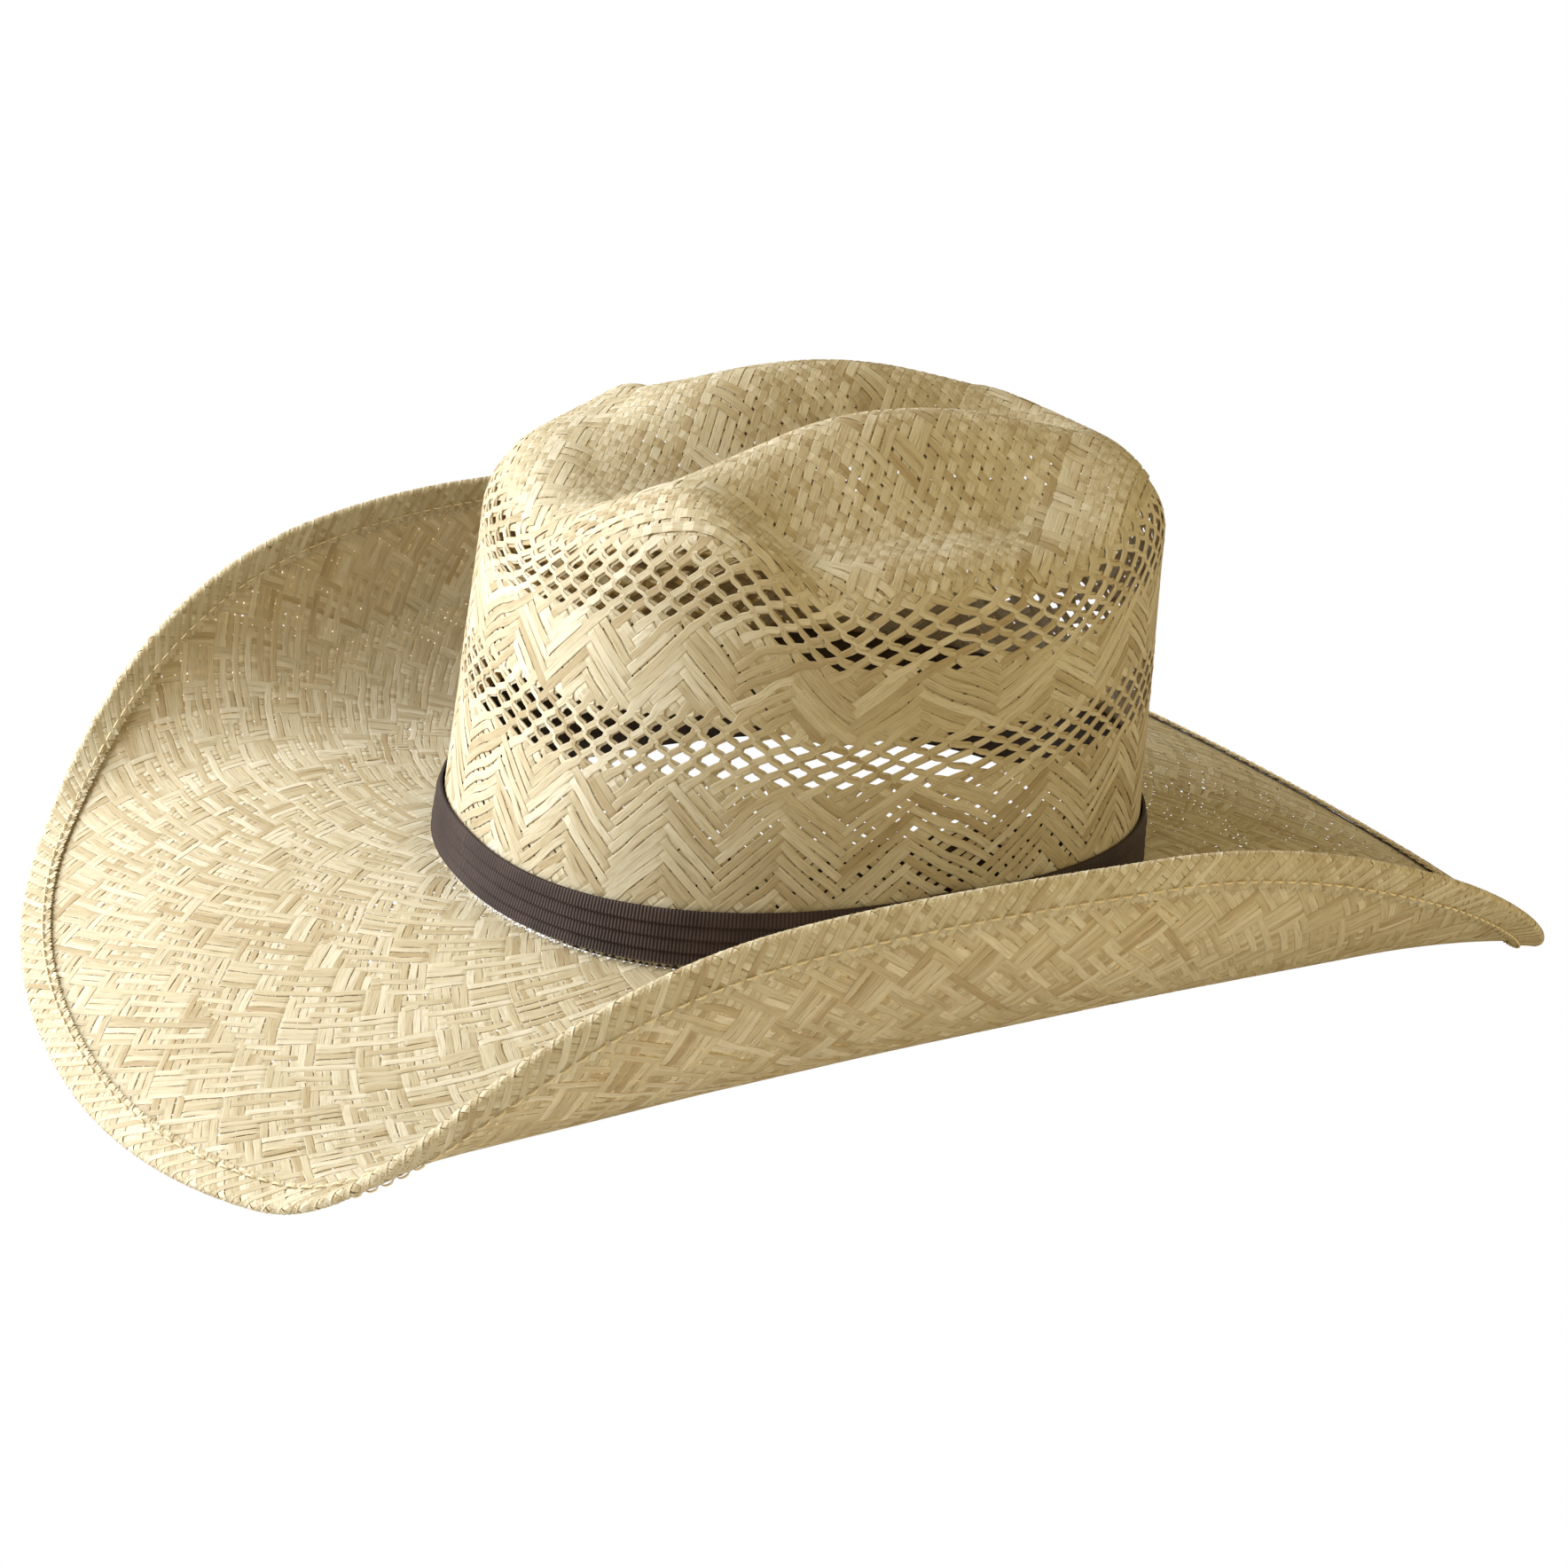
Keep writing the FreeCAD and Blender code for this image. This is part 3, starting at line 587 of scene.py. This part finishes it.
def woven_hem(material):
    number = int(TURN * (MEAN_RADIUS + BRIM_WIDTH) / (2 * HEM_LOOK.step)) // 2 * 2
    length = 2 * (HEM_WIDTH - FOLD_OUTER) + math.pi * HEM_OFFSET
    zones = [(PLAIN, int(length / HEM_LOOK.step) + 1)]
    return ring_weave("edge_plait", hem_middle, number, 0.0, zones, HEM_LOOK, material, 2, 4, 31)


# Materials
def new_material(name):
    material = bpy.data.materials.new(name)
    material.use_nodes = True
    nodes = material.node_tree.nodes
    return material, nodes, material.node_tree.links, nodes["Principled BSDF"]


def ramp(nodes, links, source, stops):
    node = nodes.new("ShaderNodeValToRGB")
    while len(node.color_ramp.elements) < len(stops):
        node.color_ramp.elements.new(0.5)
    for element, (place, colour) in zip(node.color_ramp.elements, stops):
        element.position = place
        element.color = (*colour, 1.0)
    links.new(source, node.inputs[0])
    return node.outputs[0]


def uv_source(nodes, links, layer, scale):
    uv = nodes.new("ShaderNodeUVMap")
    uv.uv_map = layer
    mapping = nodes.new("ShaderNodeMapping")
    mapping.inputs["Scale"].default_value = scale
    links.new(uv.outputs[0], mapping.inputs[0])
    return mapping.outputs[0]


def noise(nodes, links, vector, scale, detail=3.0, rough=0.5):
    node = nodes.new("ShaderNodeTexNoise")
    node.inputs["Scale"].default_value = scale
    node.inputs["Detail"].default_value = detail
    node.inputs["Roughness"].default_value = rough
    links.new(vector, node.inputs["Vector"])
    return node.outputs[0]


def mix_colours(nodes, links, mode, factor, first, second):
    node = nodes.new("ShaderNodeMix")
    node.data_type = "RGBA"
    node.blend_type = mode
    node.inputs[0].default_value = factor
    links.new(first, node.inputs[6])
    if isinstance(second, tuple):
        node.inputs[7].default_value = (*second, 1)
    else:
        links.new(second, node.inputs[7])
    return node.outputs[2]


STRAW_TONES = [
    (0.32, (0.55, 0.46, 0.31)),
    (0.5, (0.71, 0.66, 0.52)),
    (0.68, (0.84, 0.82, 0.73)),
]
STRAW_STREAKS = [
    (0.34, (0.66, 0.58, 0.44)),
    (0.5, (0.96, 0.94, 0.88)),
    (0.66, (1.0, 1.0, 1.0)),
]


def straw_material(name, layer):
    material, nodes, links, shader = new_material(name)
    fibres = noise(nodes, links, uv_source(nodes, links, layer, (2.5, 6.0, 1.0)), 6.0, 4.0, 0.6)
    strands = noise(nodes, links, uv_source(nodes, links, layer, (0.35, 1.0, 1.0)), 1.7, 1.0, 0.4)
    tone = ramp(nodes, links, strands, STRAW_TONES)
    streak = ramp(nodes, links, fibres, STRAW_STREAKS)
    colour = mix_colours(nodes, links, "MULTIPLY", 0.75, tone, streak)
    links.new(colour, shader.inputs["Base Color"])
    shader.inputs["Roughness"].default_value = 0.52
    shader.inputs["Specular IOR Level"].default_value = 0.35
    bump = nodes.new("ShaderNodeBump")
    bump.inputs["Strength"].default_value = 0.35
    bump.inputs["Distance"].default_value = 0.0002
    links.new(fibres, bump.inputs["Height"])
    links.new(bump.outputs[0], shader.inputs["Normal"])
    glow = nodes.new("ShaderNodeBsdfTranslucent")
    warm = mix_colours(nodes, links, "MULTIPLY", 1.0, colour, (0.95, 0.80, 0.52))
    links.new(warm, glow.inputs["Color"])
    mixer = nodes.new("ShaderNodeMixShader")
    mixer.inputs[0].default_value = 0.42
    links.new(shader.outputs[0], mixer.inputs[1])
    links.new(glow.outputs[0], mixer.inputs[2])
    links.new(mixer.outputs[0], nodes["Material Output"].inputs["Surface"])
    return material


def ribbon_material(name):
    material, nodes, links, shader = new_material(name)
    source = uv_source(nodes, links, "Weave", (1.0, 1.0, 1.0))
    wave = nodes.new("ShaderNodeTexWave")
    wave.inputs["Scale"].default_value = 0.31
    wave.inputs["Distortion"].default_value = 0.15
    links.new(source, wave.inputs["Vector"])
    cloud = noise(nodes, links, source, 0.08, 3.0, 0.5)
    tone = ramp(nodes, links, cloud, [(0.3, (0.026, 0.015, 0.014)), (0.7, (0.046, 0.028, 0.026))])
    # Stripes across the ribbon, darkest where the bump height is lowest: painted shade in the rib grooves,
    # multiplied over the ribbon's brown tone.
    painted_rib_groove_shade = ramp(nodes, links, wave.outputs[0], [(0.0, (0.45, 0.45, 0.45)), (0.6, (1.0, 1.0, 1.0))])
    links.new(mix_colours(nodes, links, "MULTIPLY", 0.8, tone, painted_rib_groove_shade), shader.inputs["Base Color"])
    shader.inputs["Roughness"].default_value = 0.6
    shader.inputs["Specular IOR Level"].default_value = 0.2
    bump = nodes.new("ShaderNodeBump")
    bump.inputs["Strength"].default_value = 0.7
    bump.inputs["Distance"].default_value = 0.0003
    links.new(wave.outputs[0], bump.inputs["Height"])
    links.new(bump.outputs[0], shader.inputs["Normal"])
    return material


def plain_material(name, dark, light, scale, roughness, metallic=0.0, depth=0.3):
    material, nodes, links, shader = new_material(name)
    coord = nodes.new("ShaderNodeTexCoord")
    grain = noise(nodes, links, coord.outputs["Object"], scale, 5.0, 0.6)
    links.new(ramp(nodes, links, grain, [(0.35, dark), (0.65, light)]), shader.inputs["Base Color"])
    shader.inputs["Roughness"].default_value = roughness
    shader.inputs["Metallic"].default_value = metallic
    bump = nodes.new("ShaderNodeBump")
    bump.inputs["Strength"].default_value = depth
    bump.inputs["Distance"].default_value = 0.0002
    links.new(grain, bump.inputs["Height"])
    links.new(bump.outputs[0], shader.inputs["Normal"])
    return material


# Pieces made by sweeping a section round the hat
def swept_ring(name, middle, section, columns, material, ripple=None):
    """Closed section of (distance along the sheet, distance off it) carried round the hat."""
    section = np.array(section + section[:1], float)
    count = len(section)
    angle = TURN * np.arange(columns + 1) / columns
    grid_a, grid_s = np.meshgrid(angle, section[:, 0])
    off = np.broadcast_to(section[:, 1][:, None], grid_a.shape)
    if ripple is not None:
        off = off + ripple(grid_a, grid_s, off)
    point, normal = surface(middle, grid_a, grid_s)
    points = point + normal * off[..., None]
    faces = strip_faces(count, columns + 1, closed=False)
    travel = np.concatenate([[0], np.cumsum(np.hypot(*np.diff(section, axis=0).T))])
    around = angle * (MEAN_RADIUS + (BRIM_WIDTH if middle is edge_middle else 0))
    u, v = np.meshgrid(around, travel)
    uv = np.stack([u, v], -1).reshape(-1, 2)[faces]
    bake = uv / [around[-1], travel[-1]]
    return make_piece(name, points, faces, {"OFBake": bake, "Weave": uv}, material)


def hatband(material):
    tier = BAND_HEIGHT / BAND_PLEATS
    inner = HALF_STRAW + LAY_GAP
    thin = inner + RIBBON_THICKNESS
    section = [(BAND_BOTTOM + BAND_HEIGHT, inner), (BAND_BOTTOM + BAND_HEIGHT, thin)]
    for i in range(BAND_PLEATS):
        top = BAND_BOTTOM + BAND_HEIGHT - i * tier
        for share in (0.04, 0.25, 0.5, 0.75, 0.9, 0.97, 1.0):
            swell = PLEAT_STEP * share ** 0.8
            if share == 1.0:
                swell = PLEAT_STEP * 0.82
            section.append((top - tier * share, thin + swell))
    section.append((BAND_BOTTOM, inner))

    def ripple(angle, along, off):
        wave = 0.12 * np.sin(3 * angle + 0.4 * along) + 0.07 * np.sin(11 * angle + along)
        return np.where(off > thin, wave * 0.5, 0.0)

    piece = swept_ring("hatband_ribbon", straw_middle, section, 720, material, ripple)
    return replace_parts(piece, "hatband")


def sweatband(material):
    foot = SWEAT_FOOT
    knee = foot + TAPE_HEIGHT + LAY_GAP
    top = foot + SWEAT_HEIGHT
    high = HALF_STRAW + SWEAT_TOP_GAP
    near = [(foot, -SWEAT_DEPTH), (knee, -SWEAT_DEPTH), (top, -high)]
    far = [(h, d - SWEAT_THICKNESS) for h, d in reversed(near)]
    piece = swept_ring("sweatband_skin", straw_middle, near + far, 360, material)
    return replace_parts(piece, "sweatband")


def stitches(name, node, middle, along, off, pitch, length, radius, material, around):
    """Single stitches in a row, each a short thread that dips at both ends."""
    number = int(around / pitch)
    spots = np.linspace(-0.5, 0.5, 7)
    sides = 6
    points, faces, uv = [], [], []
    for i in range(number):
        centre_angle = TURN * i / number
        angle = centre_angle + spots * length / around * TURN
        for sign in (1, -1) if node == "hem_stitching" else (1,):
            point, normal = surface(middle, angle, np.full(7, along))
            ahead = np.gradient(point, axis=0)
            ahead /= np.linalg.norm(ahead, axis=1, keepdims=True)
            side = np.cross(normal, ahead)
            dip = -radius * 1.6 * (2 * np.abs(spots)) ** 3
            centre = point + normal * (sign * (off + dip))[:, None]
            turn = TURN * np.arange(sides) / sides
            girth = radius * (1 - 0.5 * (2 * np.abs(spots)) ** 4)
            ring = centre[:, None, :] + (
                side[:, None, :] * np.cos(turn)[None, :, None]
                + normal[:, None, :] * np.sin(turn)[None, :, None]) * girth[:, None, None]
            faces.append(strip_faces(7, sides) + len(points) * 7 * sides)
            points.append(ring.reshape(-1, 3))
    faces = np.concatenate(faces)
    u = np.linspace(0, 1, len(faces) * 4)
    uv = np.stack([u, u % 0.01], -1)
    piece = make_piece(name, np.concatenate(points), faces, {"Weave": uv}, material)
    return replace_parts(piece, node)


# Scene around the hat
CAMERA_AZIMUTH = 58.353
CAMERA_ELEVATION = 22.953
CAMERA_DISTANCE = 738.5
CAMERA_RIGHT = -3.984
CAMERA_UP = 14.305
CAMERA_ROLL = 5.442
FOCAL_PIXELS = 2876.987
FRAME_PIXELS = 1768
SENSOR = 36.0


def camera_axes():
    a = math.radians(CAMERA_AZIMUTH)
    e = math.radians(CAMERA_ELEVATION)
    back = Vector((math.sin(a) * math.cos(e), -math.cos(a) * math.cos(e), math.sin(e)))
    right = Vector((math.cos(a), math.sin(a), 0))
    return right, back.cross(right), back


def add_camera():
    right, up, back = camera_axes()
    place = right * CAMERA_RIGHT + up * CAMERA_UP + back * CAMERA_DISTANCE
    roll = math.radians(CAMERA_ROLL)
    x = right * math.cos(roll) + up * math.sin(roll)
    y = -right * math.sin(roll) + up * math.cos(roll)
    camera = bpy.data.objects.new("camera", bpy.data.cameras.new("camera"))
    camera.matrix_world = Matrix.Translation(place * MM) @ Matrix((x, y, back)).transposed().to_4x4()
    camera.data.sensor_width = SENSOR
    camera.data.lens = FOCAL_PIXELS * SENSOR / FRAME_PIXELS
    bpy.context.scene.collection.objects.link(camera)
    bpy.context.scene.camera = camera


def add_light(name, right_mm, up_mm, back_mm, size, watts, colour):
    right, up, back = camera_axes()
    place = (right * right_mm + up * up_mm + back * back_mm) * MM
    lamp = bpy.data.lights.new(name, "AREA")
    lamp.size = size
    lamp.energy = watts
    lamp.color = colour
    light = bpy.data.objects.new(name, lamp)
    light.location = place
    light.rotation_euler = (-place).to_track_quat("-Z", "Y").to_euler()
    bpy.context.scene.collection.objects.link(light)


def add_floor():
    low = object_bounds()[0][2]
    mesh = bpy.data.meshes.new("floor")
    far = 4.0
    corners = [(-far, -far, low), (far, -far, low), (far, far, low), (-far, far, low)]
    mesh.from_pydata(corners, [], [(0, 1, 2, 3)])
    floor = bpy.data.objects.new("floor", mesh)
    material, nodes, links, shader = new_material("floor_white")
    shader.inputs["Base Color"].default_value = (0.9, 0.9, 0.9, 1)
    shader.inputs["Roughness"].default_value = 0.9
    white = nodes.new("ShaderNodeEmission")
    path = nodes.new("ShaderNodeLightPath")
    mixer = nodes.new("ShaderNodeMixShader")
    links.new(path.outputs["Is Camera Ray"], mixer.inputs[0])
    links.new(shader.outputs[0], mixer.inputs[1])
    links.new(white.outputs[0], mixer.inputs[2])
    links.new(mixer.outputs[0], nodes["Material Output"].inputs["Surface"])
    mesh.materials.append(material)
    bpy.context.scene.collection.objects.link(floor)


def add_world():
    world = bpy.data.worlds.new("studio")
    bpy.context.scene.world = world
    world.use_nodes = True
    nodes = world.node_tree.nodes
    links = world.node_tree.links
    soft = nodes["Background"]
    soft.inputs[0].default_value = (1.0, 0.83, 0.43, 1)
    soft.inputs[1].default_value = 0.33
    white = nodes.new("ShaderNodeBackground")
    white.inputs[0].default_value = (1, 1, 1, 1)
    white.inputs[1].default_value = 1.0
    path = nodes.new("ShaderNodeLightPath")
    mixer = nodes.new("ShaderNodeMixShader")
    links.new(path.outputs["Is Camera Ray"], mixer.inputs[0])
    links.new(soft.outputs[0], mixer.inputs[1])
    links.new(white.outputs[0], mixer.inputs[2])
    links.new(mixer.outputs[0], nodes["World Output"].inputs["Surface"])


def dress():
    straw = straw_material("woven_straw", "Strand")
    ribbon = ribbon_material("brown_grosgrain")
    pieces = crown_wall(straw) + crown_top(straw)
    pieces += brim_ring("brim_inner", 2.0, 42.0, straw, 2, 21)
    pieces += brim_ring("brim_middle", 41.0, 80.0, straw, 2, 22)
    pieces += brim_ring("brim_outer", 79.0, 114.0, straw, 3, 23)
    for piece in pieces:
        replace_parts(piece, "straw_body")
    for piece in woven_hem(straw):
        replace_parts(piece, "edge_strip")
    hatband(ribbon)
    sweatband(plain_material("sweat_leather", (0.035, 0.02, 0.012), (0.06, 0.035, 0.02), 900.0, 0.55))
    thread = plain_material("straw_thread", (0.55, 0.44, 0.27), (0.72, 0.60, 0.40), 3000.0, 0.7)
    off = HALF_STRAW + LAY_GAP + 0.8 + 0.25
    around = TURN * (MEAN_RADIUS + BRIM_WIDTH)
    stitches("hem_stitches", "hem_stitching", edge_middle, HEM_WIDTH - 2.2, off, 4.2, 3.0, 0.3,
             thread, around)
    steel = plain_material("drawn_steel", (0.45, 0.45, 0.46), (0.6, 0.6, 0.62), 2000.0, 0.35, 1.0)
    tape = plain_material("lining_tape", (0.05, 0.035, 0.03), (0.09, 0.06, 0.05), 2500.0, 0.8)
    reed = plain_material("clear_reed", (0.7, 0.68, 0.62), (0.82, 0.8, 0.74), 800.0, 0.4)
    own = {"brim_wire": steel, "wire_ferrule": steel, "reed_tape": tape, "sweatband_reed": reed,
           "sweatband_stitching": tape, "band_keeper": plain_material(
               "keeper_ribbon", (0.035, 0.02, 0.018), (0.07, 0.04, 0.035), 1800.0, 0.6)}
    for node, material in own.items():
        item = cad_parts[node]
        item = item if hasattr(item, "data") else bpy.data.objects[node]
        item.data.materials.clear()
        item.data.materials.append(material)


bpy.context.scene.view_settings.view_transform = "Standard"
dress()
add_camera()
add_floor()
add_world()
add_light("key", -945, 430, 250, 0.9, 30, (0.98, 1.0, 0.98))
add_light("fill", 700, 300, 700, 1.2, 6.5, (1.0, 0.80, 0.42))
